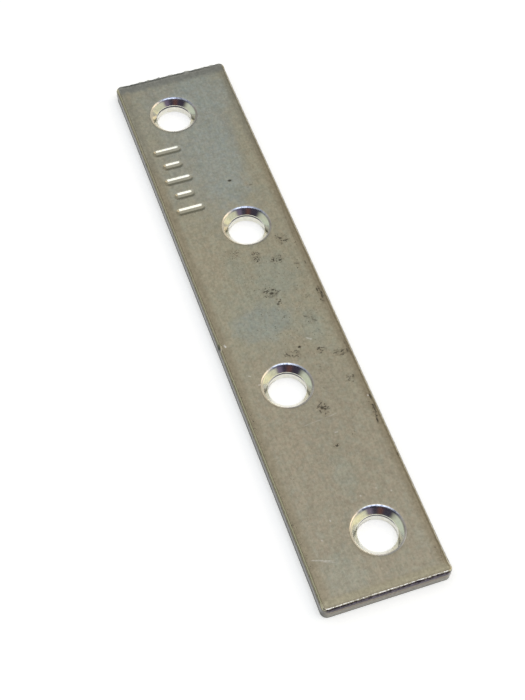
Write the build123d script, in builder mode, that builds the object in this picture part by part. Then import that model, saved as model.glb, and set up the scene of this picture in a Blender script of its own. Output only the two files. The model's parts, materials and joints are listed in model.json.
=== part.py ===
"""Mending plate: a blanked, zinc-plated steel strip with four staggered countersunk screw holes.

Millimetres. The origin is the centre of the underside, +X runs along the strip,
+Y across it and +Z up through its thickness to the countersunk face.
"""

import os

from build123d import *

# --- outline of the blank ---
plate_length = 100.0
plate_width = 19.0
plate_thickness = 2.5
corner_radius = 1.0

# --- sheared edge, from the countersunk face down ---
edge_roll = 0.7         # radius by which the punch drew the face's rim over into the edge
break_height = 1.0      # height of the rough break under the smooth sheared band
break_lean = 2.5        # degrees by which the break leans in towards the underside

# --- screw holes, in two rows along the strip ---
hole_diameter = 5.7
sink_diameter = 7.9     # where the cone meets the face
sink_angle = 90.0
rim_round = 0.2         # soft edge between the cone and the face
end_margin = 9.0        # end of the strip to the centre of its nearest hole
outer_pitch = 26.0      # each end hole to its neighbour, along the strip
row_spacing = 3.9       # between the two rows, across the strip

# Along the strip the holes mirror about the middle, and from each to the next
# they change rows, so that the screws don't share one line of grain.
end_hole_x = plate_length / 2 - end_margin
inner_hole_x = end_hole_x - outer_pitch
row_y = row_spacing / 2
hole_centres = [
    (-end_hole_x, -row_y),
    (-inner_hole_x, row_y),
    (inner_hole_x, -row_y),
    (end_hole_x, row_y),
]

with BuildPart() as mending_plate:
    # The smooth sheared band stands square from the top of the break to the face.
    with BuildSketch(Plane.XY.offset(break_height)) as outline:
        RectangleRounded(plate_length, plate_width, corner_radius)
    extrude(amount=plate_thickness - break_height)

    # Under it the steel tore, and the edge leans in a little down to the underside.
    extrude(outline.sketch, amount=-break_height, taper=break_lean)

    # The cutting punch drew the rim of the face over into the edge, all the way round.
    face = mending_plate.faces().sort_by(Axis.Z)[-1]
    fillet(face.outer_wire().edges(), radius=edge_roll)

    # Each hole has a cone for the screw's head, over a straight bore.
    with Locations(Plane.XY.offset(plate_thickness)):
        with Locations(*hole_centres):
            CounterSinkHole(
                radius=hole_diameter / 2,
                counter_sink_radius=sink_diameter / 2,
                counter_sink_angle=sink_angle,
            )
    sink_rims = (
        mending_plate.edges()
        .filter_by(GeomType.CIRCLE)
        .filter_by_position(Axis.Z, plate_thickness - rim_round / 10, plate_thickness)
        .filter_by(lambda edge: abs(edge.radius - sink_diameter / 2) < rim_round)
    )
    fillet(sink_rims, radius=rim_round)

mending_plate.part.label = "mending_plate"

os.makedirs("parts", exist_ok=True)
export_step(mending_plate.part, "parts/mending_plate.step")

bore_length = plate_thickness - (sink_diameter - hole_diameter) / 2
print(f"mending_plate: {mending_plate.part.volume:.1f} mm3, straight bores {bore_length:.2f} mm long")
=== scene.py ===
import json
import math

import bmesh
import bpy
from mathutils import Matrix, Vector


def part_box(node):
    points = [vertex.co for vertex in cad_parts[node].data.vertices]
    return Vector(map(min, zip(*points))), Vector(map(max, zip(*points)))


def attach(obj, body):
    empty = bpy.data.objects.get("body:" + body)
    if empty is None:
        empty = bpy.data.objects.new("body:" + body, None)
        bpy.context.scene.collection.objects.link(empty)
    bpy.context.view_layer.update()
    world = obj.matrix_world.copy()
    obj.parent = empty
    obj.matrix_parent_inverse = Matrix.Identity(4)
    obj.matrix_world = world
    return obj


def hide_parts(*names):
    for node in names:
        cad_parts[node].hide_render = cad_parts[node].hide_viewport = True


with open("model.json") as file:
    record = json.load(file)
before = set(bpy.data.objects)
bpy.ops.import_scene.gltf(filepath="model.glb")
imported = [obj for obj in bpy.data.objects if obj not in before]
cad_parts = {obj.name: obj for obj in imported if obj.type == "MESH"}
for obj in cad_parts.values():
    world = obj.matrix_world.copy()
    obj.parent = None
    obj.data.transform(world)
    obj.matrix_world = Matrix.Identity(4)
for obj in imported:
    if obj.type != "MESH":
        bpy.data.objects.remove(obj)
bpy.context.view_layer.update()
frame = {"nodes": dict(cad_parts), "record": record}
mm = 0.001
print("frame loaded:", sorted(frame["nodes"]))

# the strip's own sizes come from the frame. Its +X end is called near here and its -X end far, and
# its -Y side left and its +Y side right
lowCorner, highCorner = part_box("mending_plate")
plateLength = highCorner.x - lowCorner.x
plateWidth = highCorner.y - lowCorner.y
plateThickness = highCorner.z - lowCorner.z
screwHoles = [m for m in frame["record"]["mounts"] if m["kind"] == "bore"]

# where the camera stands
view = {
    "azimuth": 69.79,           # degrees, 0 looks along +Y
    "elevation": 56.35,
    "roll": 1.32,
    "aim": Vector((7.226, -3.093, 1.25)) * mm,
    "distance": 217.18 * mm,
    "lens": 75.0,
}


def directionOf(azimuth, elevation):
    # from the plate out to a camera or lamp at these angles
    a, e = math.radians(azimuth), math.radians(elevation)
    return Vector((math.sin(a) * math.cos(e), -math.cos(a) * math.cos(e), math.sin(e)))


def addCamera():
    outward = directionOf(view["azimuth"], view["elevation"])
    bpy.ops.object.camera_add(location=view["aim"] + outward * view["distance"])
    camera = bpy.context.object
    camera.name = "benchCamera"
    turned = outward.to_track_quat("Z", "Y").to_matrix()
    spin = Matrix.Rotation(math.radians(view["roll"]), 3, "Z")
    camera.rotation_euler = (turned @ spin).to_euler()
    camera.data.lens = view["lens"]
    camera.data.clip_start = 0.005
    bpy.context.scene.camera = camera


def addNode(tree, kind, **settings):
    node = tree.nodes.new(kind)
    for name, value in settings.items():
        setattr(node, name, value)
    return node


def plug(tree, value, socket):
    # a value may be a number, a colour or another node's output
    if isinstance(value, bpy.types.NodeSocket):
        tree.links.new(value, socket)
    else:
        socket.default_value = value


def feed(tree, node, **values):
    # plugs values into a node's inputs by their names
    for name, value in values.items():
        plug(tree, value, node.inputs[name])


def calc(tree, operation, a, b=0.0):
    node = addNode(tree, "ShaderNodeMath", operation=operation)
    plug(tree, a, node.inputs[0])
    plug(tree, b, node.inputs[1])
    return node.outputs[0]


def plus(tree, a, b):
    return calc(tree, "ADD", a, b)


def minus(tree, a, b):
    return calc(tree, "SUBTRACT", a, b)


def times(tree, a, b):
    return calc(tree, "MULTIPLY", a, b)


def between(tree, a, b):
    # how far apart two values are
    return calc(tree, "ABSOLUTE", minus(tree, a, b))


def gathered(tree, operation, values):
    # one value out of many, taken two at a time
    total = values[0]
    for value in values[1:]:
        total = calc(tree, operation, total, value)
    return total


def vectorCalc(tree, operation, a, b=(0, 0, 0), output="Vector"):
    node = addNode(tree, "ShaderNodeVectorMath", operation=operation)
    plug(tree, a, node.inputs[0])
    plug(tree, b, node.inputs[1])
    return node.outputs[output]


def fade(tree, value, start, end, low=0.0, high=1.0):
    # runs smoothly from low to high while the value goes from start to end
    node = addNode(tree, "ShaderNodeMapRange", interpolation_type="SMOOTHSTEP")
    for socket, number in zip(node.inputs[:5], (value, start, end, low, high)):
        plug(tree, number, socket)
    return node.outputs[0]


def blend(tree, factor, a, b, blendType="MIX"):
    node = addNode(tree, "ShaderNodeMix", data_type="RGBA", blend_type=blendType)
    plug(tree, factor, node.inputs[0])
    plug(tree, a, node.inputs[6])
    plug(tree, b, node.inputs[7])
    return node.outputs[2]


def turnTo(tree, value, span, a, b):
    # from colour a to colour b while the value goes through the span
    return blend(tree, fade(tree, value, *span), a, b)


def noise(tree, vector, scale, detail=2.0, roughness=0.5):
    node = addNode(tree, "ShaderNodeTexNoise")
    feed(tree, node, Vector=vector, Scale=scale, Detail=detail, Roughness=roughness)
    return node.outputs["Fac"]


def split(tree, vector):
    node = addNode(tree, "ShaderNodeSeparateXYZ")
    plug(tree, vector, node.inputs[0])
    return node.outputs


def stretched(tree, vector, factors=(1, 1, 1), shift=(0, 0, 0)):
    node = addNode(tree, "ShaderNodeMapping", vector_type="POINT")
    feed(tree, node, Vector=vector, Scale=factors, Location=shift)
    return node.outputs[0]


# the floor, the room's colours and where in the room they lie, and the lamp overhead: a pair is where
# a fade starts and ends, as a share of the way up, towards the camera ("near"), to its right or to +Y
studio = {
    "floorSize": 6.0,
    "floorColour": (0.93, 0.93, 0.925, 1),
    "floorLift": 0.40,          # keeps the floor white to the camera and in mirrors
    "rightHorizon": (0.95, 0.92, 0.66, 1),
    "leftHorizon": (0.62, 0.69, 0.60, 1),
    "leftWall": (0.60, 0.64, 0.56, 1),
    "rightWall": (0.68, 0.69, 0.56, 1),
    "dullCorner": (0.50, 0.48, 0.43, 1),
    "farColour": (0.74, 0.745, 0.725, 1),
    "farDim": (0.50, 0.49, 0.46, 1),
    "farLow": (0.30, 0.31, 0.30, 1),
    "nearDim": (0.045, 0.038, 0.065, 1),
    "redDim": (0.12, 0.055, 0.055, 1),
    "purpleDim": (0.17, 0.14, 0.23, 1),
    "warmSide": (1.40, 1.22, 0.98, 1),
    "topColour": (0.80, 0.81, 0.85, 1),
    "windowNear": (-0.36, -0.12),
    "windowTop": (0.60, 0.70),
    "windowRise": (-0.05, 0.30),        # it reaches higher on the near side
    "windowRiseBy": 0.17,
    "windowRight": (0.56, 0.76),
    "windowLeft": (-0.62, -0.90),
    "purpleRight": (0.24, 0.46),
    "redMiddle": -0.08,
    "redReach": 0.28,
    "horizonTop": (0.38, 0.24),
    "horizonTurn": (-0.3, 0.3),
    "warmTurn": (0.38, 0.58),
    "warmFar": (-0.55, -0.40),
    "lowFar": (-0.62, -0.78),
    "lowTop": (0.68, 0.58),
    "dullTurn": (0.20, 0.46),
    "dullFar": (-0.40, -0.55),
    "ceiling": (0.91, 0.97),
    "boxRadiance": 2.2,
    "boxLength": 0.46,
    "boxWidth": 0.30,
    "boxHeight": 0.70,
    "boxAzimuth": 100.0,
    "boxTilt": 13.5,            # degrees from straight above
    "boxColour": (0.86, 0.91, 1.0),
}


def addFloor():
    bpy.ops.mesh.primitive_plane_add(size=studio["floorSize"], location=(0, 0, lowCorner.z))
    floor = bpy.context.object
    floor.name = "floor"
    paint = bpy.data.materials.new("floorPaint")
    paint.use_nodes = True
    tree = paint.node_tree
    tree.nodes.clear()
    matte = addNode(tree, "ShaderNodeBsdfDiffuse")
    feed(tree, matte, Color=studio["floorColour"])
    rays = addNode(tree, "ShaderNodeLightPath")
    seen = calc(tree, "MAXIMUM", rays.outputs["Is Camera Ray"], rays.outputs["Is Glossy Ray"])
    seen = calc(tree, "MAXIMUM", seen, rays.outputs["Is Transmission Ray"])
    glow = addNode(tree, "ShaderNodeEmission")
    feed(tree, glow, Strength=times(tree, seen, studio["floorLift"]))
    total = addNode(tree, "ShaderNodeAddShader")
    plug(tree, matte.outputs[0], total.inputs[0])
    plug(tree, glow.outputs[0], total.inputs[1])
    feed(tree, addNode(tree, "ShaderNodeOutputMaterial"), Surface=total.outputs[0])
    floor.data.materials.append(paint)


def addWorld():
    # pale walls and ceiling, with a dark window low towards the camera and a dull far corner
    s = studio
    world = bpy.data.worlds.new("softRoom")
    world.use_nodes = True
    tree = world.node_tree
    tree.nodes.clear()
    sky = addNode(tree, "ShaderNodeTexCoord").outputs["Generated"]
    parts = split(tree, sky)
    side, height = parts["Y"], parts["Z"]
    near = vectorCalc(tree, "DOT_PRODUCT", sky, directionOf(view["azimuth"], 0), "Value")
    right = vectorCalc(tree, "DOT_PRODUCT", sky, directionOf(view["azimuth"] + 90, 0), "Value")
    # the window, from its middle out to the walls at its sides
    fromRed = between(tree, right, s["redMiddle"])
    dark = turnTo(tree, fromRed, (s["redReach"], 0.0), s["nearDim"], s["redDim"])
    for colour, edge in (
            ("purpleDim", "purpleRight"), ("rightWall", "windowRight"), ("leftWall", "windowLeft")):
        dark = turnTo(tree, right, s[edge], dark, s[colour])
    dim = turnTo(tree, near, s["windowNear"], s["farDim"], dark)
    # the walls above it, warmer on one side
    warm = times(tree, fade(tree, side, *s["warmTurn"]), fade(tree, near, *s["warmFar"]))
    upper = blend(tree, warm, s["farColour"], s["warmSide"])
    above = minus(tree, height, fade(tree, near, *s["windowRise"], 0.0, s["windowRiseBy"]))
    room = turnTo(tree, above, s["windowTop"], dim, upper)
    # the horizon, the low wall and the dull corner at the far end, and the ceiling
    horizon = turnTo(tree, side, s["horizonTurn"], s["leftHorizon"], s["rightHorizon"])
    room = turnTo(tree, height, s["horizonTop"], room, horizon)
    low = times(tree, fade(tree, near, *s["lowFar"]), fade(tree, height, *s["lowTop"]))
    room = blend(tree, low, room, s["farLow"])
    dull = times(tree, fade(tree, side, *s["dullTurn"]), fade(tree, near, *s["dullFar"]))
    room = blend(tree, dull, room, s["dullCorner"])
    room = turnTo(tree, height, s["ceiling"], room, s["topColour"])
    back = addNode(tree, "ShaderNodeBackground")
    feed(tree, back, Color=room)
    feed(tree, addNode(tree, "ShaderNodeOutputWorld"), Surface=back.outputs[0])
    bpy.context.scene.world = world


def addSoftbox():
    s = studio
    outward = directionOf(s["boxAzimuth"], 90 - s["boxTilt"])
    bpy.ops.object.light_add(type="AREA", location=outward * s["boxHeight"])
    lamp = bpy.context.object
    lamp.name = "topBox"
    lamp.rotation_euler = outward.to_track_quat("Z", "Y").to_euler()
    lamp.data.shape = "RECTANGLE"
    lamp.data.size = s["boxLength"]
    lamp.data.size_y = s["boxWidth"]
    lamp.data.energy = s["boxRadiance"] * math.pi * s["boxLength"] * s["boxWidth"]
    lamp.data.color = s["boxColour"]


# the strip's outline and edge
plateShape = {
    "cornerRadius": 1.0 * mm,
    "cornerSteps": 12,
    "sideStep": 0.14 * mm,      # fine enough for the marks that the shear left
    "burrRound": 0.05 * mm,
    "breakHeight": 1.0 * mm,    # rough torn band under the smooth sheared one
    "breakLean": 2.5,           # degrees
    "breakStep": 0.03 * mm,     # the tear starts a little inside the smooth band
    "smoothFoot": 1.08 * mm,
    "rollRadius": 0.70 * mm,
    "endRoll": 0.38 * mm,       # tighter at the two ends
    "endStart": 0.6 * mm,       # this far before the corners, and fully so over the next stretch
    "endBlend": 0.9 * mm,
    "drawWidth": 1.10 * mm,     # the punch drew the face down this far in from the edge
    "drawSlope": 3.0,           # degrees
    "drawBlend": 0.20 * mm,
    "support": 0.08 * mm,       # flat ring that keeps the face's shading true
    "spread": 0.03 * mm,        # the shear pushed the ends of the long sides out by this much
    "spreadReach": 4.0 * mm,
    "mostPieces": 90,           # that one cut makes of an edge
    # rows of faces up the torn band, the smooth one, the roll, the drawn rim and its blend
    "tornRows": 8,
    "smoothRows": 5,
    "rollRows": 13,
    "slopeRows": 2,
    "blendRows": 4,
}

# the screw holes
sinkShape = {
    "coneSlope": 45.0,          # degrees
    "rimRadius": 3.79 * mm,     # where the cone would meet the face
    "rimRound": 0.75 * mm,
    "sagWidth": 0.35 * mm,      # the face dips a little towards the cone
    "sagDepth": 0.010 * mm,
    "throatRound": 0.09 * mm,   # between the cone and the bore
    "support": 0.12 * mm,
    "around": 128,
    "rimRows": 9,
    "throatRows": 4,
}

# the row of pressed strokes
stampShape = {
    "count": 5,
    "firstX": -33.6 * mm,
    "pitch": 3.2 * mm,
    "rowY": -5.35 * mm,
    "longStroke": 5.2 * mm,
    "shortStroke": 3.8 * mm,
    "width": 1.85 * mm,
    "around": 32,
    # each step inwards and down, in millimetres
    "steps": [(0.08, 0.0), (0.10, 0.010), (0.12, 0.030), (0.13, 0.064),
              (0.13, 0.066), (0.11, 0.032), (0.08, 0.010), (0.05, 0.002)],
}


def arc(count, start, end):
    # evenly spaced angles from degrees, both ends included
    return [math.radians(start + (end - start) * i / count) for i in range(count + 1)]


def zeroToOne(value):
    return min(1, max(0, value))


def lowerRows():
    # (distance in from the outline, height) down from the smooth band through the torn one
    s = plateShape
    lean = math.tan(math.radians(s["breakLean"])) * s["breakHeight"]
    rows = [(0.0, s["smoothFoot"])]
    for i in range(s["tornRows"] + 1):
        share = i / s["tornRows"]
        height = s["breakHeight"] - (s["breakHeight"] - s["burrRound"]) * share
        rows.append((s["breakStep"] + lean * share, height))
    rows.append((lean + s["breakStep"] + s["burrRound"], 0.0))
    return rows


def upperRows():
    # the same up the smooth band and round the roll, and how much higher it is at the tight ends
    s = plateShape
    tilt = math.radians(s["drawSlope"])
    drawDepth = s["drawWidth"] * math.tan(tilt)
    radius = s["rollRadius"]
    rollBase = plateThickness - drawDepth - radius * (1 - math.sin(tilt)) / math.cos(tilt)
    lift = radius - s["endRoll"]
    rows = []
    for i in range(s["smoothRows"] + 1):
        share = i / s["smoothRows"]
        rows.append((0.0, s["smoothFoot"] + (rollBase - s["smoothFoot"]) * share, lift * share))
    angles = arc(s["rollRows"], 0, 90 - s["drawSlope"])
    for t in angles[1:]:
        left = 1 - math.sin(t) / math.sin(angles[-1])
        rows.append((radius * (1 - math.cos(t)), rollBase + radius * math.sin(t), lift * left))
    return rows


def drawnRows(start):
    # from the end of the roll up the drawn rim to the flat face
    s = plateShape
    slope = math.tan(math.radians(s["drawSlope"]))
    blendStart = s["drawWidth"] - s["drawBlend"]
    rows = [start]
    for i in range(1, s["slopeRows"] + 1):
        inward = start[0] + (blendStart - start[0]) * i / s["slopeRows"]
        rows.append((inward, plateThickness - slope * (s["drawWidth"] - inward)))
    for i in range(1, s["blendRows"] + 1):
        share = i / s["blendRows"]
        drop = slope * s["drawBlend"] * (1 - share) ** 2
        rows.append((blendStart + 2 * s["drawBlend"] * share, plateThickness - drop))
    rows.append((rows[-1][0] + s["support"], plateThickness))
    return rows


def sinkRows(boreRadius):
    # (radius, height) from the face down through the cone and the bore
    s = sinkShape
    slope = math.radians(s["coneSlope"])
    flatEdge = s["rimRadius"] + s["rimRound"] * math.tan(slope / 2)
    rows = [(flatEdge + s["sagWidth"] + s["support"], plateThickness)]
    for share in (1.0, 0.75, 0.5, 0.25):
        drop = s["sagDepth"] * (1 - share) ** 2
        rows.append((flatEdge + s["sagWidth"] * share, plateThickness - drop))
    rimTop = plateThickness - s["sagDepth"]
    for t in arc(s["rimRows"], 0, s["coneSlope"]):
        drop = s["rimRound"] * (1 - math.cos(t))
        rows.append((flatEdge - s["rimRound"] * math.sin(t), rimTop - drop))
    tangent = s["throatRound"] * math.tan(slope / 2)
    coneFoot = rimTop - (s["rimRadius"] - boreRadius) * math.tan(slope)
    lean = tangent * math.cos(slope)
    last = rows[-1]
    for share in (0.33, 0.66, 1.0):
        radius = last[0] + (boreRadius + lean - last[0]) * share
        rows.append((radius, last[1] + (coneFoot + lean - last[1]) * share))
    for t in arc(s["throatRows"], s["coneSlope"], 0)[1:]:
        radius = boreRadius + s["throatRound"] * (1 - math.cos(t))
        rows.append((radius, coneFoot - tangent + s["throatRound"] * math.sin(t)))
    rows.append((boreRadius, plateShape["burrRound"]))
    rows.append((boreRadius + plateShape["burrRound"] / 2, 0.0))
    return rows


def selectInMesh(piece, mode, test):
    # picks vertices, edges or faces in edit mode by their place
    bpy.ops.mesh.select_mode(type=mode)
    bpy.ops.mesh.select_all(action="DESELECT")
    shape = bmesh.from_edit_mesh(piece.data)
    for part in {"VERT": shape.verts, "EDGE": shape.edges, "FACE": shape.faces}[mode]:
        part.select_set(test(part))
    shape.select_flush_mode()
    bmesh.update_edit_mesh(piece.data)


def openLoopAt(height):
    near = 0.002 * mm
    return lambda e: len(e.link_faces) == 1 and all(abs(v.co.z - height) < near for v in e.verts)


def growLoop(move, factors, centre):
    bpy.ops.mesh.extrude_edges_move(TRANSFORM_OT_translate={"value": move})
    bpy.ops.transform.resize(value=factors, center_override=centre)


def moveInward(piece, step, height, lift):
    # square to the outline, so the corners get tighter as the edge rolls over
    s = plateShape
    cornerX = plateLength / 2 - s["cornerRadius"]
    cornerY = plateWidth / 2 - s["cornerRadius"]
    shape = bmesh.from_edit_mesh(piece.data)
    for v in shape.verts:
        if v.select:
            pastX, pastY = abs(v.co.x) - cornerX, abs(v.co.y) - cornerY
            outward = Vector((max(0, pastX), max(0, pastY))).normalized()
            atEnd = zeroToOne((pastX + s["endStart"]) / s["endBlend"])
            travel = step * (1 - atEnd * (1 - s["endRoll"] / s["rollRadius"]))
            v.co.x -= math.copysign(outward.x * travel, v.co.x)
            v.co.y -= math.copysign(outward.y * travel, v.co.y)
            v.co.z = height + lift * atEnd
    bmesh.update_edit_mesh(piece.data)


def shrinkTo(inA, inB):
    halfX, halfY = plateLength / 2, plateWidth / 2
    return ((halfX - inB) / (halfX - inA), (halfY - inB) / (halfY - inA), 1)


def growRing(rows):
    # pulls the selected outline through rows of (distance in, height)
    for (inA, zA), (inB, zB) in zip(rows, rows[1:]):
        growLoop((0, 0, zB - zA), shrinkTo(inA, inB), (0, 0, 0))


def spanOf(edge, axis):
    return abs(edge.verts[0].co[axis] - edge.verts[1].co[axis])


def cutStraights(blank):
    # a long side takes two cuts in a row, because one cut makes a hundred pieces at most
    s = plateShape
    for side, straight in ((0, plateLength), (1, plateWidth)):
        pieces = round((straight - 2 * s["cornerRadius"]) / s["sideStep"])
        first = max(1, math.ceil(pieces / s["mostPieces"]))
        reach = straight - 2.1 * s["cornerRadius"]      # just short of the straight
        for cuts, shortest in ((first, reach), (round(pieces / first), reach / first * 0.9)):
            if cuts > 1:
                selectInMesh(blank, "EDGE", lambda e: spanOf(e, side) > shortest)
                bpy.ops.mesh.subdivide(number_cuts=cuts - 1)


def makeBlank():
    s = plateShape
    bpy.ops.object.select_all(action="DESELECT")
    bpy.ops.mesh.primitive_plane_add(size=1, location=(0, 0, 0))
    blank = bpy.context.object
    blank.name = "plate"
    bpy.ops.object.mode_set(mode="EDIT")
    bpy.ops.transform.resize(value=(plateLength, plateWidth, 1))
    bpy.ops.transform.translate(value=(0, 0, s["smoothFoot"]))
    bpy.ops.mesh.bevel(offset=s["cornerRadius"], segments=s["cornerSteps"], affect="VERTICES")
    bpy.ops.mesh.select_all(action="SELECT")
    bpy.ops.mesh.delete(type="ONLY_FACE")
    cutStraights(blank)
    # up the smooth band and round the roll, then up the drawn rim
    bpy.ops.mesh.select_mode(type="EDGE")
    bpy.ops.mesh.select_all(action="SELECT")
    rows = upperRows()
    for (inA, zA, _), (inB, zB, liftB) in zip(rows, rows[1:]):
        growLoop((0, 0, zB - zA), (1, 1, 1), (0, 0, 0))
        moveInward(blank, inB - inA, zB, liftB)
    growRing(drawnRows(rows[-1][:2]))
    # and down through the torn band
    rows = lowerRows()
    selectInMesh(blank, "EDGE", openLoopAt(rows[0][1]))
    growRing(rows)
    return blank


def sinkScrewHole(hole):
    x, y, _ = hole["pos_m"]
    rows = sinkRows(hole["dims"]["r_mm"] * mm)
    radius, height = rows[0]
    bpy.ops.mesh.select_all(action="DESELECT")
    bpy.ops.mesh.primitive_circle_add(
        vertices=sinkShape["around"], radius=radius, location=(x, y, height))
    for (rA, zA), (rB, zB) in zip(rows, rows[1:]):
        growLoop((0, 0, zB - zA), (rB / rA, rB / rA, 1), (x, y, zA))


def pressStroke(piece, index):
    s = stampShape
    x = s["firstX"] + s["pitch"] * index
    length = s["longStroke"] if index % 2 == 0 else s["shortStroke"]
    straight = length - s["width"]
    bpy.ops.mesh.select_all(action="DESELECT")
    bpy.ops.mesh.primitive_circle_add(
        vertices=s["around"], radius=s["width"] / 2, fill_type="NGON",
        location=(x, s["rowY"], plateThickness), rotation=(0, 0, math.pi / s["around"]))
    shape = bmesh.from_edit_mesh(piece.data)
    ring = [v for v in shape.verts if v.select]
    for end in (1, -1):
        for v in ring:
            if (v.co.y - s["rowY"]) * end > 0:
                v.co.y += end * straight / 2
    bmesh.update_edit_mesh(piece.data)
    for inward, deeper in s["steps"]:
        bpy.ops.mesh.inset(thickness=inward * mm, depth=-deeper * mm)


def closeFace(piece, height):
    # fills the flat between the outline and every hole and mark in it
    selectInMesh(piece, "EDGE", openLoopAt(height))
    bpy.ops.mesh.fill(use_beauty=True)


def spreadEnds(piece):
    # the long sides run a little narrower than the sheared ends
    s = plateShape
    straightEnd = plateLength / 2 - s["cornerRadius"]
    for v in piece.data.vertices:
        share = zeroToOne((straightEnd - abs(v.co.x)) / s["spreadReach"])
        smooth = share * share * (3 - 2 * share)
        if plateWidth / 2 - abs(v.co.y) < s["drawWidth"] + s["drawBlend"]:
            v.co.y -= math.copysign(s["spread"] * smooth, v.co.y)


def makePlate():
    piece = makeBlank()
    for hole in screwHoles:
        sinkScrewHole(hole)
    for index in range(stampShape["count"]):
        pressStroke(piece, index)
    closeFace(piece, plateThickness)
    closeFace(piece, 0.0)
    bpy.ops.mesh.select_all(action="SELECT")
    bpy.ops.mesh.normals_make_consistent(inside=False)
    bpy.ops.object.mode_set(mode="OBJECT")
    spreadEnds(piece)
    return piece


# marks in the metal: grain is their size, reach how far they are drawn out in height, low and high
# the band that has them, and end the end that has them, 0 for the whole edge
wear = {
    "shearMarks": {
        "depth": 0.050 * mm, "grain": 0.00022, "reach": 16.0, "contrast": 1.8, "level": 1.15,
        "low": 1.10 * mm, "high": 2.40 * mm, "soft": 0.06 * mm, "end": 0,
    },
    "tornMetal": {
        "depth": 0.050 * mm, "grain": 0.00022, "reach": 1.0, "contrast": 1.8, "level": 1.15,
        "low": 0.15 * mm, "high": 0.90 * mm, "soft": 0.12 * mm, "end": 0,
    },
    "shearNotches": {
        "depth": 0.26 * mm, "grain": 0.00075, "reach": 20.0, "contrast": 2.4, "level": 0.85,
        "low": 0.90 * mm, "high": 2.36 * mm, "soft": 0.16 * mm, "end": -1,
    },
    "wavyLip": {
        "depth": 0.080 * mm, "grain": 0.00060, "reach": 20.0, "contrast": 2.2, "level": 1.15,
        "low": 1.90 * mm, "high": 2.43 * mm, "soft": 0.04 * mm, "end": 1,
    },
}

wearLimits = {
    "inward": 0.65 * mm,        # how far in from the outline marks go
    "fromEnd": 1.0 * mm,        # and how far along from the end that has them
    "cornerGap": 1.1 * mm,      # marks of one end leave the corners clear
    "cornerFade": 0.6 * mm,
}

# a small dent in the left edge
nick = {
    "centre": (5.5 * mm, -9.35 * mm, 2.25 * mm),
    "reach": 0.75 * mm,
    "push": (0, 0.24 * mm, -0.14 * mm),
}


def markWeight(place, s):
    # 1 in the band of heights that has the mark, fading out over the soft distance
    limits = wearLimits
    fromEnd, fromSide = plateLength / 2 - abs(place.x), plateWidth / 2 - abs(place.y)
    if min(fromEnd, fromSide) >= limits["inward"]:
        return 0
    rise = (place.z - s["low"]) / s["soft"] + 1
    fall = (s["high"] - place.z) / s["soft"] + 1
    weight = zeroToOne(min(rise, fall))
    if s["end"]:
        if place.x * s["end"] < plateLength / 2 - limits["fromEnd"]:
            return 0
        weight *= zeroToOne((fromSide - limits["cornerGap"]) / limits["cornerFade"])
    return weight


def roughen(piece, name):
    s = wear[name]
    group = piece.vertex_groups.new(name=name)
    for v in piece.data.vertices:
        weight = markWeight(v.co, s)
        if weight > 0:
            group.add([v.index], weight, "REPLACE")
    bpy.ops.object.empty_add(location=(0, 0, 0))
    ruler = bpy.context.object
    ruler.scale = (1, 1, s["reach"])
    grain = bpy.data.textures.new(name, "CLOUDS")
    grain.noise_scale = s["grain"]
    grain.noise_depth = 2
    grain.contrast = s["contrast"]
    bpy.ops.object.select_all(action="DESELECT")
    piece.select_set(True)
    bpy.context.view_layer.objects.active = piece
    press = piece.modifiers.new(name, "DISPLACE")
    press.texture = grain
    press.texture_coords = "OBJECT"
    press.texture_coords_object = ruler
    press.mid_level = s["level"]
    press.strength = s["depth"]
    press.vertex_group = name
    bpy.ops.object.modifier_apply(modifier=name)
    piece.vertex_groups.remove(piece.vertex_groups[name])
    bpy.data.objects.remove(ruler)


def keepInside(piece):
    # the marks cut into the strip and never stand out from it
    for v in piece.data.vertices:
        for axis in range(3):
            v.co[axis] = max(lowCorner[axis], min(highCorner[axis], v.co[axis]))


def dentEdge(piece):
    for v in piece.data.vertices:
        away = (v.co - Vector(nick["centre"])).length / nick["reach"]
        if away < 1:
            v.co += Vector(nick["push"]) * (1 - away * away) ** 2


def finishMesh(piece):
    for name in wear:
        roughen(piece, name)
    keepInside(piece)
    dentEdge(piece)
    bpy.ops.object.shade_smooth_by_angle(angle=math.radians(40))


def newGroup(name, inputs, outputs):
    # inputs and outputs are the sockets' names: these four are vectors, the rest plain values
    vectors = ("place", "centre", "reach", "turn")
    tree = bpy.data.node_groups.new(name, "ShaderNodeTree")
    for labels, way in ((inputs, "INPUT"), (outputs, "OUTPUT")):
        for label in labels.split():
            kind = "NodeSocketVector" if label in vectors else "NodeSocketFloat"
            tree.interface.new_socket(name=label, in_out=way, socket_type=kind)
    return tree, addNode(tree, "NodeGroupInput").outputs, addNode(tree, "NodeGroupOutput")


def useGroup(tree, name, **values):
    node = addNode(tree, "ShaderNodeGroup", node_tree=bpy.data.node_groups[name])
    feed(tree, node, **values)
    return node.outputs


def makePlaceGroup():
    # the place on the strip in millimetres, and how far in from its ends, sides and outline
    tree, _, result = newGroup("placeOnStrip", "", "place fromEnd fromSide inward height")
    coords = addNode(tree, "ShaderNodeTexCoord").outputs["Object"]
    place = vectorCalc(tree, "MULTIPLY", coords, (1 / mm, 1 / mm, 1 / mm))
    parts = split(tree, place)
    fromEnd = minus(tree, plateLength / 2 / mm, calc(tree, "ABSOLUTE", parts["X"]))
    fromSide = minus(tree, plateWidth / 2 / mm, calc(tree, "ABSOLUTE", parts["Y"]))
    inward = calc(tree, "MINIMUM", fromEnd, fromSide)
    feed(tree, result, place=place, fromEnd=fromEnd, fromSide=fromSide, inward=inward, height=parts["Z"])


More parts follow.
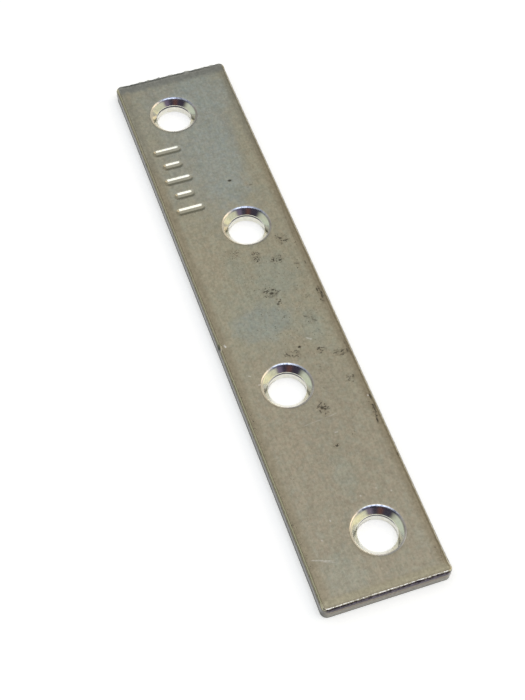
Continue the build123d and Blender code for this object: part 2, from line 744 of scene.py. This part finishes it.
def makePatchGroup():
    # a soft uneven patch, 1 in its middle and 0 outside
    tree, given, result = newGroup("softPatch", "place centre reach wobble", "mask")
    offset = vectorCalc(tree, "SUBTRACT", given["place"], given["centre"])
    away = vectorCalc(tree, "LENGTH", vectorCalc(tree, "DIVIDE", offset, given["reach"]), output="Value")
    ragged = minus(tree, noise(tree, given["place"], 0.55, 3.0, 0.6), 0.5)
    away = plus(tree, away, times(tree, ragged, given["wobble"]))
    feed(tree, result, mask=fade(tree, away, 1.15, 0.45))


# how fine the specks are along the strip and across it, and the least noise that makes one
speckGrain = {
    "dots": (4.4, 2.6, 0.0),
    "grit": (7.5, 6.5, 0.0),
    "gaps": (1.9, 1.2, 0.0),
    "least": (0.690, 0.515),    # with the smallest amount and with the full one
    "spread": 1.3,              # of a group of them, past its stated reach
    "dotEdge": 0.022,
    "gritEdge": 0.03,
    "gritLess": 0.03,
}


def makeSpeckGroup():
    # small dark spots and streaks, as many and as large as the amount allows
    s = speckGrain
    tree, given, result = newGroup("darkSpecks", "place amount", "mask")
    place, amount = given["place"], given["amount"]
    gaps = noise(tree, stretched(tree, place, s["gaps"], (5, 2, 0)), 1.0, 1.0)
    gaps = fade(tree, gaps, 0.40, 0.60, 0.15, 1.0)
    least = fade(tree, times(tree, amount, gaps), 0.0, 1.0, *s["least"])
    dots = noise(tree, stretched(tree, place, s["dots"]), 1.0, 2.0, 0.7)
    dots = fade(tree, minus(tree, dots, least), 0.0, s["dotEdge"])
    grit = noise(tree, stretched(tree, place, s["grit"], (3, 9, 0)), 1.0, 1.0, 0.5)
    gritLeast = plus(tree, least, s["gritLess"])
    grit = fade(tree, minus(tree, grit, gritLeast), 0.0, s["gritEdge"])
    both = calc(tree, "MAXIMUM", dots, grit)
    feed(tree, result, mask=times(tree, both, fade(tree, amount, 0.0, 0.10)))


def makeScratchGroup():
    # one straight scratch: 1 along its middle, broken up a little
    tree, given, result = newGroup("scratch", "place centre turn halfLength halfWidth", "mask")
    turned = addNode(tree, "ShaderNodeMapping", vector_type="TEXTURE")
    feed(tree, turned, Vector=given["place"], Location=given["centre"], Rotation=given["turn"])
    parts = split(tree, turned.outputs[0])
    bow = times(tree, minus(tree, noise(tree, given["place"], 0.5, 1.0), 0.5), 0.5)
    across = calc(tree, "ABSOLUTE", plus(tree, parts["Y"], bow))
    along = calc(tree, "ABSOLUTE", parts["X"])
    wide = fade(tree, calc(tree, "DIVIDE", across, given["halfWidth"]), 1.0, 0.2)
    long = fade(tree, calc(tree, "DIVIDE", along, given["halfLength"]), 1.0, 0.6)
    broken = fade(tree, noise(tree, given["place"], 2.5, 2.0), 0.35, 0.60, 0.35, 1.0)
    feed(tree, result, mask=gathered(tree, "MULTIPLY", [wide, long, broken]))


def makeGrainGroup():
    # fine unevenness of rolled and plated steel: light and dark, colour, and height
    tree, given, result = newGroup("rolledGrain", "place", "light tone height")
    place = given["place"]
    lines = noise(tree, stretched(tree, place, (0.55, 3.2, 1.0)), 1.0, 3.0, 0.6)
    pebble = noise(tree, place, 2.6, 3.0, 0.7)
    blotch = noise(tree, stretched(tree, place, shift=(5, 11, 2)), 0.8, 3.0, 0.6)
    tone = noise(tree, stretched(tree, place, shift=(31, 7, 3)), 1.25, 3.0, 0.6)
    cloud = noise(tree, place, 0.28, 2.0, 0.5)
    # each noise with its own share
    mixes = {
        "light": [(lines, 0.22), (pebble, 0.60), (blotch, 0.18)],
        "tone": [(tone, 0.7), (cloud, 0.3)],
        "height": [(lines, 0.5), (pebble, 1.0)],
    }
    for label, mix in mixes.items():
        total = gathered(tree, "ADD", [times(tree, value, share) for value, share in mix])
        plug(tree, total, result.inputs[label])


# the plated face
zinc = {
    "olive": (0.440, 0.405, 0.305, 1),
    "grey": (0.405, 0.410, 0.365, 1),
    "khaki": (0.422, 0.376, 0.290, 1),
    "blue": (0.405, 0.445, 0.430, 1),
    "slate": (0.370, 0.408, 0.378, 1),
    "teal": (0.400, 0.428, 0.365, 1),
    "moss": (0.405, 0.422, 0.315, 1),
    "tan": (0.500, 0.410, 0.300, 1),
    # browner and darker at the rim: a brown tint with painted shade
    "rim": (0.365, 0.315, 0.225, 1),
    "rust": (0.300, 0.150, 0.100, 1),
    "brown": (0.270, 0.215, 0.140, 1),
    "stain": (0.075, 0.066, 0.050, 1),
    # the rim towards the far end, also a brown tint with painted shade
    "farRimTintAndShade": (0.345, 0.328, 0.262, 1),
    # painted shade along the far end
    "dull": (0.275, 0.280, 0.262, 1),
    "dullEndPaintedShade": (0.36, 0.365, 0.345, 1),
    # painted highlight along the near end
    "nearEndPaintedHighlight": (0.470, 0.435, 0.310, 1),
    # lighter in the stamped grooves: painted highlight
    "flankPaintedHighlight": (0.46, 0.43, 0.34, 1),
    "fleck": (0.95, 0.93, 0.90, 1),
    "roughness": 0.30,
    "rollRoughness": 0.16,
    "burnish": 0.17,            # how much smoother the stamp left the flanks of its marks
    "speckRoughness": 0.25,
    "speckDepth": 1.5,
}

# where the face changes, in millimetres: a pair is where a change starts and ends, along the strip
# or in from its outline
faceBands = {
    "unevenness": 1.4,
    # where the rim's brown tint and painted shade come in
    "rimInward": (2.1, 0.9),
    "farRimAlong": (-24.0, -38.0),
    # the painted shade along the far end
    "dullAlong": (-47.3, -48.4),
    "dullEndAlong": (-48.8, -49.3),
    # the painted highlight along the near end
    "brightAlong": (48.2, 48.9),
    "brightInward": (0.45, 0.65),
    "pressedHeight": (2.480, 2.450),
    "pressedInward": (1.3, 1.5),
    "rollInward": (0.85, 0.55),
    "topSide": (1.0, 1.6),      # heights, for the marks that the underside hasn't
}

# colour, centre x and y, reach x and y in millimetres, strength
tints = [
    ("khaki", (36.0, 0.0), (32.0, 16.0), 1.0),
    ("grey", (-38.0, 0.0), (24.0, 11.5), 1.0),
    ("blue", (-33.5, 1.6), (16.5, 4.6), 0.75),
    ("blue", (-44.0, 4.0), (5.5, 6.0), 0.8),
    ("tan", (-47.5, -8.7), (3.5, 1.2), 0.6),
    ("olive", (-27.0, 8.0), (13.0, 2.6), 0.8),
    ("olive", (-38.0, -7.0), (7.0, 2.2), 0.5),
    ("teal", (-4.0, 3.0), (5.5, 3.6), 0.6),
    ("teal", (-7.0, -2.5), (3.0, 1.8), 0.35),
    ("teal", (2.0, -1.5), (8.0, 5.5), 0.4),
    ("slate", (3.4, -1.9), (3.6, 5.2), 0.8),
    ("teal", (6.2, 5.2), (4.0, 2.2), 0.6),
    ("teal", (31.5, 0.6), (3.5, 1.8), 0.45),
    ("teal", (45.8, -4.6), (4.5, 3.2), 0.4),
    ("tan", (20.0, -5.0), (12.0, 3.5), 0.22),
    ("tan", (-10.0, -6.0), (6.0, 2.6), 0.3),
    ("rust", (20.2, 8.4), (0.5, 0.4), 0.75),
]

# centre x and y, reach x and y, how many and how large
speckPlaces = [
    ((-22.5, 5.4), (0.6, 0.6), 0.3),
    ((-10.3, -1.9), (1.0, 1.2), 0.7),
    ((-8.6, 1.3), (1.3, 0.8), 0.9),
    ((-7.2, 4.3), (0.9, 1.2), 0.8),
    ((-10.8, 6.3), (1.3, 1.1), 0.95),
    ((-5.5, 6.9), (1.2, 0.5), 0.75),
    ((-1.5, 1.2), (1.1, 1.3), 1.0),
    ((0.5, 1.8), (0.7, 0.6), 0.9),
    ((4.0, 1.8), (1.0, 0.8), 0.45),
    ((0.8, 6.2), (0.8, 0.6), 0.6),
    ((4.8, 5.4), (1.6, 0.6), 0.65),
    ((10.0, 0.8), (0.7, 1.3), 0.8),
    ((9.1, 2.0), (0.5, 0.5), 0.9),
    ((10.8, 4.9), (0.6, 0.9), 0.85),
    ((12.1, 7.3), (0.8, 0.9), 0.9),
    ((16.8, 7.2), (0.8, 0.8), 0.9),
    ((20.4, 1.6), (1.3, 0.9), 1.0),
    ((26.8, 1.3), (0.5, 0.5), 0.85),
    ((25.8, 4.3), (0.8, 0.35), 0.6),
    ((29.3, -6.5), (0.6, 0.5), 0.6),
    ((42.8, -1.2), (0.8, 0.5), 0.55),
    ((30.9, 9.1), (0.6, 0.4), 0.8),
    ((15.9, 9.3), (0.5, 0.4), 0.8),
    ((1.2, 8.3), (1.9, 0.45), 0.9),
    ((11.5, 8.9), (1.4, 0.35), 0.7),
    ((-10.0, 8.4), (4.5, 0.5), 0.4),
    ((23.2, 8.5), (2.3, 0.45), 0.75),
    ((46.6, 8.5), (1.2, 0.45), 0.6),
    ((18.0, -8.8), (8.0, 0.3), 0.5),
    ((36.0, -8.8), (8.0, 0.3), 0.45),
    ((1.0, 3.0), (14.0, 6.0), 0.32),
]

# single dark spots: centre x and y, reach x and y, strength
lonelySpots = [
    ((-24.5, 2.3), (0.26, 0.38), 0.95),
    ((-22.6, 5.2), (0.16, 0.42), 0.35),
    ((9.2, 2.0), (0.24, 0.26), 1.0),
    ((-1.3, 1.3), (0.3, 0.4), 0.8),
    ((0.9, 1.6), (0.26, 0.26), 0.7),
    ((20.2, 1.5), (0.34, 0.34), 0.9),
    ((10.3, 4.7), (0.2, 0.24), 0.8),
    ((26.8, 1.3), (0.2, 0.24), 0.8),
    ((20.6, 8.8), (0.6, 0.16), 0.9),
    ((22.6, 8.6), (0.8, 0.14), 0.8),
    ((24.6, 8.3), (0.45, 0.16), 0.9),
    ((0.2, 8.1), (0.45, 0.14), 0.9),
    ((1.5, 8.4), (0.6, 0.12), 0.8),
    ((12.0, 8.5), (0.5, 0.13), 0.8),
    ((-5.3, 8.2), (0.4, 0.13), 0.6),
    ((30.8, 9.0), (0.35, 0.14), 0.8),
    ((-6.9, 4.6), (0.22, 0.26), 0.7),
    ((-10.9, 6.1), (0.26, 0.3), 0.7),
]

# centre x and y, turn in degrees, half length, half width, strength, which is below 0 for a dark one
scratches = [
    ((42.9, -7.0), 68.0, 1.75, 0.16, 0.34),
    ((43.4, -6.2), 66.0, 1.2, 0.1, 0.22),
    ((22.1, -0.6), 96.0, 1.9, 0.13, 0.16),
    ((21.8, 2.3), 94.0, 1.1, 0.12, 0.22),
    ((8.3, 3.8), 50.0, 0.5, 0.2, 0.8),
    ((24.7, 2.0), 80.0, 0.3, 0.16, 0.6),
    ((20.3, 8.5), 10.0, 0.18, 0.15, 0.8),
    ((5.6, -8.4), 20.0, 0.35, 0.2, 0.8),
    ((44.0, 3.9), 40.0, 0.3, 0.18, 0.5),
    ((13.6, -5.8), 90.0, 0.25, 0.15, 0.55),
    ((11.8, -6.7), 60.0, 0.22, 0.15, 0.5),
    ((22.2, 6.2), -52.0, 2.2, 0.12, -0.16),
    ((12.9, 4.0), 92.0, 2.2, 0.12, -0.1),
    ((23.4, 8.6), -12.0, 2.2, 0.15, -0.55),
    ((11.6, 8.7), 3.0, 1.6, 0.12, -0.55),
    ((0.6, 8.5), 4.0, 1.4, 0.14, -0.6),
    ((-13.5, 8.3), -3.0, 7.0, 0.12, -0.22),
    ((10.2, -0.3), 98.0, 0.5, 0.13, -0.8),
    ((10.5, 0.8), 104.0, 0.55, 0.13, -0.85),
    ((10.0, 1.4), 90.0, 0.35, 0.12, -0.7),
    ((11.9, 6.8), 96.0, 0.6, 0.13, -0.75),
    ((12.4, 7.8), 84.0, 0.4, 0.12, -0.75),
    ((10.9, 4.9), 60.0, 0.4, 0.12, -0.6),
    ((4.4, 4.9), 52.0, 0.6, 0.14, -0.8),
    ((5.4, 5.8), 56.0, 0.5, 0.14, -0.8),
    ((-1.9, 0.4), 100.0, 0.45, 0.12, -0.6),
    ((-1.2, 1.5), 84.0, 0.5, 0.15, -0.8),
    ((-5.5, 6.9), 70.0, 0.45, 0.12, -0.6),
    ((-8.6, 1.2), 96.0, 0.6, 0.11, -0.55),
    ((-9.0, 2.1), 60.0, 0.35, 0.11, -0.5),
    ((20.6, 2.1), 75.0, 0.5, 0.14, -0.75),
    ((20.0, 1.0), 110.0, 0.4, 0.14, -0.75),
    ((17.1, 6.6), 90.0, 0.4, 0.1, -0.5),
    ((16.5, 7.7), 10.0, 0.4, 0.1, -0.5),
]
# and pale flecks
for fleck in ((35.9, 5.9), (34.9, 4.0), (35.3, 1.6), (37.6, -3.8), (40.1, -5.9)):
    scratches.append((fleck, 30.0, 0.18, 0.15, 0.45))


def patchMask(tree, place, centre, reach, wobble):
    # a patch on the face, deep enough to go round the edge of it too
    return useGroup(tree, "softPatch", place=place, centre=(*centre, plateThickness / mm),
                    reach=(*reach, 1e3), wobble=wobble)["mask"]


def markMasks(tree, place):
    # the amount of dark specks, the specks, and the light and the dark scratches
    amounts, light, dark = [], [], []
    for centre, (reachX, reachY), strength in speckPlaces:
        reach = (speckGrain["spread"] * reachX, speckGrain["spread"] * reachY)
        mask = patchMask(tree, place, centre, reach, 1.0)
        amounts.append(times(tree, mask, strength))
    amount = gathered(tree, "MAXIMUM", amounts)
    specks = [useGroup(tree, "darkSpecks", place=place, amount=amount)["mask"]]
    for centre, reach, strength in lonelySpots:
        specks.append(times(tree, patchMask(tree, place, centre, reach, 0.3), strength))
    for centre, turn, halfLength, halfWidth, strength in scratches:
        turned = (0, 0, math.radians(turn))
        mask = useGroup(tree, "scratch", place=place, centre=(*centre, 0), turn=turned,
                        halfLength=halfLength, halfWidth=halfWidth)["mask"]
        kind = light if strength > 0 else dark
        kind.append(times(tree, mask, abs(strength)))
    # the underside is left clean
    onFace = fade(tree, split(tree, place)["Z"], *faceBands["topSide"])
    masks = [amount] + [gathered(tree, "MAXIMUM", group) for group in (specks, light, dark)]
    return [times(tree, mask, onFace) for mask in masks]


def coatColour(tree, place, grain):
    colour = zinc["olive"]
    for name, centre, reach, strength in tints:
        mask = patchMask(tree, place, centre, reach, 0.9)
        colour = blend(tree, times(tree, mask, strength), colour, zinc[name])
    # and fine tan, teal and moss all over
    cool = noise(tree, place, 0.9, 3.0, 0.6)
    mossy = noise(tree, stretched(tree, place, (1.7, 1.7, 1.0), (8, 3, 1)), 1.0, 3.0, 0.6)
    for name, value, start, end, most in (
            ("tan", grain["tone"], 0.38, 0.62, 0.24), ("teal", cool, 0.48, 0.66, 0.26),
            ("moss", mossy, 0.40, 0.62, 0.24)):
        colour = blend(tree, fade(tree, value, start, end, 0.0, most), colour, zinc[name])
    return colour


def shadeBy(tree, colour, value, low, high):
    # multiplies a colour by a number that runs from low to high with the value
    grey = fade(tree, value, 0.30, 0.70, low, high)
    both = addNode(tree, "ShaderNodeCombineColor")
    for socket in both.inputs[:3]:
        plug(tree, grey, socket)
    return blend(tree, 1.0, colour, both.outputs[0], "MULTIPLY")


def startFinish(name):
    # a metal paint with its shader, the place on the strip and the grain there
    paint = bpy.data.materials.new(name)
    paint.use_nodes = True
    tree = paint.node_tree
    shader = tree.nodes["Principled BSDF"]
    shader.inputs["Metallic"].default_value = 1.0
    where = useGroup(tree, "placeOnStrip")
    return paint, tree, shader, where, useGroup(tree, "rolledGrain", place=where["place"])


def addBump(tree, shader, height, strength, distance):
    bump = addNode(tree, "ShaderNodeBump")
    feed(tree, bump, Strength=strength, Distance=distance, Height=height)
    feed(tree, shader, Normal=bump.outputs[0])


def satinZinc():
    bands = faceBands
    paint, tree, shader, where, grain = startFinish("satinZinc")
    place, inward = where["place"], where["inward"]
    colour = coatColour(tree, place, grain)
    # browner and darker towards the rim, a brown tint with painted shade, a dull band of painted shade
    # along the far end and a painted highlight along the near end
    uneven = times(tree, minus(tree, grain["tone"], 0.5), bands["unevenness"])
    along = plus(tree, split(tree, place)["X"], uneven)
    # the rim: a brown tint with painted shade
    rim = fade(tree, plus(tree, inward, uneven), *bands["rimInward"], 0.0, 0.9)
    rimColour = turnTo(tree, along, bands["farRimAlong"], zinc["rim"], zinc["farRimTintAndShade"])
    colour = blend(tree, rim, colour, rimColour)
    # painted shade along the far end, paler at the very end
    dull = fade(tree, along, *bands["dullAlong"], 0.0, 0.85)
    dullColour = turnTo(tree, along, bands["dullEndAlong"], zinc["dull"], zinc["dullEndPaintedShade"])
    colour = blend(tree, dull, colour, dullColour)
    # painted highlight along the near end
    nearEndPaintedHighlight = fade(tree, along, *bands["brightAlong"])
    nearEndPaintedHighlight = times(tree, nearEndPaintedHighlight, fade(tree, inward, *bands["brightInward"]))
    colour = blend(tree, times(tree, nearEndPaintedHighlight, 0.7), colour, zinc["nearEndPaintedHighlight"])
    colour = shadeBy(tree, colour, grain["light"], 0.79, 1.21)
    # the stamp burnished the flanks of its marks, smoother in the roughness below, and their lighter
    # colour here is a painted highlight
    pressed = fade(tree, where["height"], *bands["pressedHeight"])
    pressed = times(tree, pressed, fade(tree, inward, *bands["pressedInward"]))
    colour = blend(tree, times(tree, pressed, 0.55), colour, zinc["flankPaintedHighlight"])
    amount, specks, light, dark = markMasks(tree, place)
    colour = blend(tree, fade(tree, amount, 0.1, 1.0, 0.0, 0.20), colour, zinc["brown"])
    colour = blend(tree, times(tree, specks, 0.96), colour, zinc["stain"])
    colour = blend(tree, dark, colour, zinc["stain"])
    colour = blend(tree, light, colour, zinc["fleck"])
    plug(tree, colour, shader.inputs["Base Color"])
    rough = fade(tree, inward, *bands["rollInward"], zinc["roughness"], zinc["rollRoughness"])
    rough = minus(tree, rough, times(tree, pressed, zinc["burnish"]))
    rough = plus(tree, rough, times(tree, specks, zinc["speckRoughness"]))
    feed(tree, shader, Roughness=rough)
    height = minus(tree, grain["height"], times(tree, specks, zinc["speckDepth"]))
    height = times(tree, height, fade(tree, pressed, 0.0, 1.0, 1.0, 0.2))
    addBump(tree, shader, height, 0.35, 0.02 * mm)
    return paint


# the cones and bores: colours, and where a change starts and ends in height, in millimetres, or on
# the way round a hole, which runs from -1 to 1
formed = {
    "yellow": (0.80, 0.77, 0.66, 1),
    "green": (0.78, 0.78, 0.71, 1),
    # painted shade in a ring below the throat
    "throatPaintedShade": (0.07, 0.07, 0.08, 1),
    # painted reflections on the rims: broken bluish at the far side, darker on the right, pale towards
    # the near end, cream on the left
    "farRimPaintedShade": (0.22, 0.24, 0.32, 1),
    "farRimPaintedHighlight": (0.42, 0.45, 0.53, 1),
    "rightRimPaintedShade": (0.42, 0.39, 0.37, 1),
    "nearRimPaintedHighlight": (0.84, 0.79, 0.75, 1),
    "leftRimPaintedHighlight": (1.0, 0.92, 0.78, 1),
    "holeReach": (6.0, 5.0),
    "throatHeight": 1.30,
    "throatHalf": (0.20, 0.12),
    "throatAlong": (0.05, -0.45),
    "rightAlong": (-0.6, 0.0),
    "nearAlong": (0.2, 0.8),
    "leftAcross": (-0.2, -0.8),
    "rimHeight": (2.16, 2.32),
    "roughness": (0.14, 0.22),  # of the cones, and of their rims
}


def sideOfHole(tree, place):
    # where a place is about its screw hole: along the strip and across it, from -1 to 1
    total = (0, 0, 0)
    for hole in screwHoles:
        x, y = hole["pos_m"][0] / mm, hole["pos_m"][1] / mm
        offset = vectorCalc(tree, "MULTIPLY", vectorCalc(tree, "SUBTRACT", place, (x, y, 0)), (1, 1, 0))
        away = vectorCalc(tree, "LENGTH", offset, output="Value")
        turned = addNode(tree, "ShaderNodeVectorMath", operation="SCALE")
        plug(tree, vectorCalc(tree, "NORMALIZE", offset), turned.inputs[0])
        plug(tree, fade(tree, away, *formed["holeReach"]), turned.inputs["Scale"])
        total = vectorCalc(tree, "ADD", total, turned.outputs[0])
    parts = split(tree, total)
    return parts["X"], parts["Y"]


def formedZinc():
    # the cones and bores, burnished by the punch, with painted reflections on their rims and a ring of
    # painted shade at the throat
    s = formed
    paint, tree, shader, where, grain = startFinish("formedZinc")
    place, height = where["place"], where["height"]
    colour = blend(tree, fade(tree, grain["tone"], 0.35, 0.65), s["yellow"], s["green"])
    # a dark ring of painted shade at the top of the bore, weaker on the near side
    fromThroat = between(tree, height, s["throatHeight"])
    along, across = sideOfHole(tree, place)
    ring = times(tree, fade(tree, fromThroat, *s["throatHalf"]),
                 fade(tree, along, *s["throatAlong"], 0.10, 1.0))
    colour = blend(tree, ring, colour, s["throatPaintedShade"])
    # the soft rim with painted reflections: broken and bluish at its far side, darker on the right,
    # paler painted highlights on the left and towards the near end
    broken = noise(tree, stretched(tree, place, (1.0, 1.0, 0.0)), 2.2, 3.0, 0.6)
    rimColour = blend(tree, fade(tree, broken, 0.38, 0.52), s["farRimPaintedShade"], s["farRimPaintedHighlight"])
    for value, name, part in (
            (along, "rightAlong", "rightRimPaintedShade"), (along, "nearAlong", "nearRimPaintedHighlight"),
            (across, "leftAcross", "leftRimPaintedHighlight")):
        rimColour = turnTo(tree, value, s[name], rimColour, s[part])
    colour = turnTo(tree, height, s["rimHeight"], colour, rimColour)
    plug(tree, shadeBy(tree, colour, grain["light"], 0.90, 1.10), shader.inputs["Base Color"])
    feed(tree, shader, Roughness=fade(tree, height, *s["rimHeight"], *s["roughness"]))
    addBump(tree, shader, grain["height"], 0.15, 0.01 * mm)
    return paint


# the edge: colours from the underside up, and heights in millimetres. "side" is along the strip's
# sides and "end" at its two ends
sheared = {
    # the torn metal is darker along the long sides: painted shade
    "sideTornPaintedShade": (0.122, 0.119, 0.108, 1),
    "endTorn": (0.275, 0.262, 0.228, 1),
    "foot": (0.22, 0.22, 0.21, 1),
    "brownLine": (0.17, 0.12, 0.08, 1),
    # the smooth band: painted shade in place of a dark reflection, along the sides and at the near and
    # far ends
    "sideBandPaintedShade": (0.19, 0.17, 0.13, 1),
    "nearBandPaintedShade": (0.066, 0.055, 0.072, 1),
    "farBandPaintedShade": (0.20, 0.20, 0.19, 1),
    # the lip: painted highlight, broken by a darker colour at the near end
    "sideLipPaintedHighlight": (0.58, 0.53, 0.40, 1),
    "darkLipPaintedShade": (0.30, 0.275, 0.21, 1),
    "nearLipPaintedHighlight": (0.76, 0.74, 0.67, 1),
    "farLipPaintedHighlight": (0.92, 0.92, 0.88, 1),
    "footHeight": (0.25, 0.05),
    "brownHeight": 1.46,
    "brownHalf": (0.30, 0.10),
    "bandFoot": (2.02, 1.76),   # along the sides, and at the ends
    "bandBlur": (-0.08, 0.08),
    "lipFoot": (2.28, 2.41),
    "lipBlur": (-0.02, 0.04),
    "smoothHeight": (1.0, 1.4),
    "roughness": (0.42, 0.20),  # of the torn metal, and of the smooth band
}


def shearedZinc():
    # from the underside up: torn metal with a brown line in it, darker along the sides by painted shade,
    # a dark smooth band of painted shade, the roll with a painted highlight on its lip
    s = sheared
    paint, tree, shader, where, grain = startFinish("shearedZinc")
    place, height = where["place"], where["height"]
    strokes = noise(tree, stretched(tree, place, (4.0, 4.0, 0.35)), 1.0, 2.0, 0.6)
    uneven = times(tree, minus(tree, strokes, 0.5), 0.45)
    ragged = plus(tree, height, uneven)
    atEnd = times(tree, fade(tree, where["fromEnd"], 1.0, 0.4), fade(tree, where["fromSide"], 0.05, 1.0))
    far = fade(tree, split(tree, place)["X"], 1.0, -1.0)
    # torn metal, darker along the sides by painted shade
    colour = blend(tree, atEnd, s["sideTornPaintedShade"], s["endTorn"])
    colour = shadeBy(tree, colour, grain["light"], 0.75, 1.25)
    colour = turnTo(tree, height, s["footHeight"], colour, s["foot"])
    fromBrown = between(tree, ragged, s["brownHeight"])
    brown = fade(tree, fromBrown, *s["brownHalf"], 0.0, 0.75)
    colour = blend(tree, times(tree, brown, atEnd), colour, s["brownLine"])
    # along the sides the band of painted shade is only a dull line on the roll
    smooth = shadeBy(tree, s["nearBandPaintedShade"], strokes, 0.5, 1.6)
    smooth = blend(tree, far, smooth, s["farBandPaintedShade"])
    smooth = blend(tree, atEnd, s["sideBandPaintedShade"], smooth)
    aboveFoot = minus(tree, ragged, fade(tree, atEnd, 0.0, 1.0, *s["bandFoot"]))
    colour = turnTo(tree, aboveFoot, s["bandBlur"], colour, smooth)
    # a painted highlight on the lip where the roll meets the face, broken at the near end
    lip = fade(tree, noise(tree, place, 3.4, 3.0, 0.6), 0.38, 0.60)
    lip = blend(tree, lip, s["darkLipPaintedShade"], s["nearLipPaintedHighlight"])
    lip = blend(tree, far, lip, s["farLipPaintedHighlight"])
    lip = blend(tree, atEnd, s["sideLipPaintedHighlight"], lip)
    top = plus(tree, height, times(tree, strokes, 0.06))
    top = minus(tree, top, fade(tree, atEnd, 0.0, 1.0, *s["lipFoot"]))
    colour = turnTo(tree, top, s["lipBlur"], colour, lip)
    plug(tree, colour, shader.inputs["Base Color"])
    feed(tree, shader, Roughness=fade(tree, height, *s["smoothHeight"], *s["roughness"]))
    addBump(tree, shader, plus(tree, grain["height"], strokes), 0.3, 0.02 * mm)
    return paint


# which faces take the finishes of the holes and the edge
dressing = {
    "holeReach": 4.2 * mm,      # past a hole's soft rim
    "belowFace": 0.03 * mm,
    "edgeInward": 0.40 * mm,
}


def dressPlate(piece):
    for makeGroup in (makePlaceGroup, makePatchGroup, makeSpeckGroup, makeScratchGroup, makeGrainGroup):
        makeGroup()
    for paint in (satinZinc(), formedZinc(), shearedZinc()):
        piece.data.materials.append(paint)
    satin, formedFinish, shearedFinish = range(3)
    holes = [Vector(hole["pos_m"][:2]) for hole in screwHoles]
    for face in piece.data.polygons:
        c = face.center
        inHole = any((c.xy - hole).length < dressing["holeReach"] for hole in holes)
        inward = min(plateLength / 2 - abs(c.x), plateWidth / 2 - abs(c.y))
        if inHole and c.z < plateThickness - dressing["belowFace"]:
            face.material_index = formedFinish
        elif inward < dressing["edgeInward"]:
            face.material_index = shearedFinish
        else:
            face.material_index = satin


addCamera()
addFloor()
addWorld()
addSoftbox()
print("studio ready")
plate = makePlate()
print("plate shaped:", len(plate.data.vertices), "vertices")
finishMesh(plate)
dressPlate(plate)
print("plate finished")
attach(plate, "root")
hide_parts("mending_plate")
bpy.context.scene.view_settings.view_transform = "Standard"
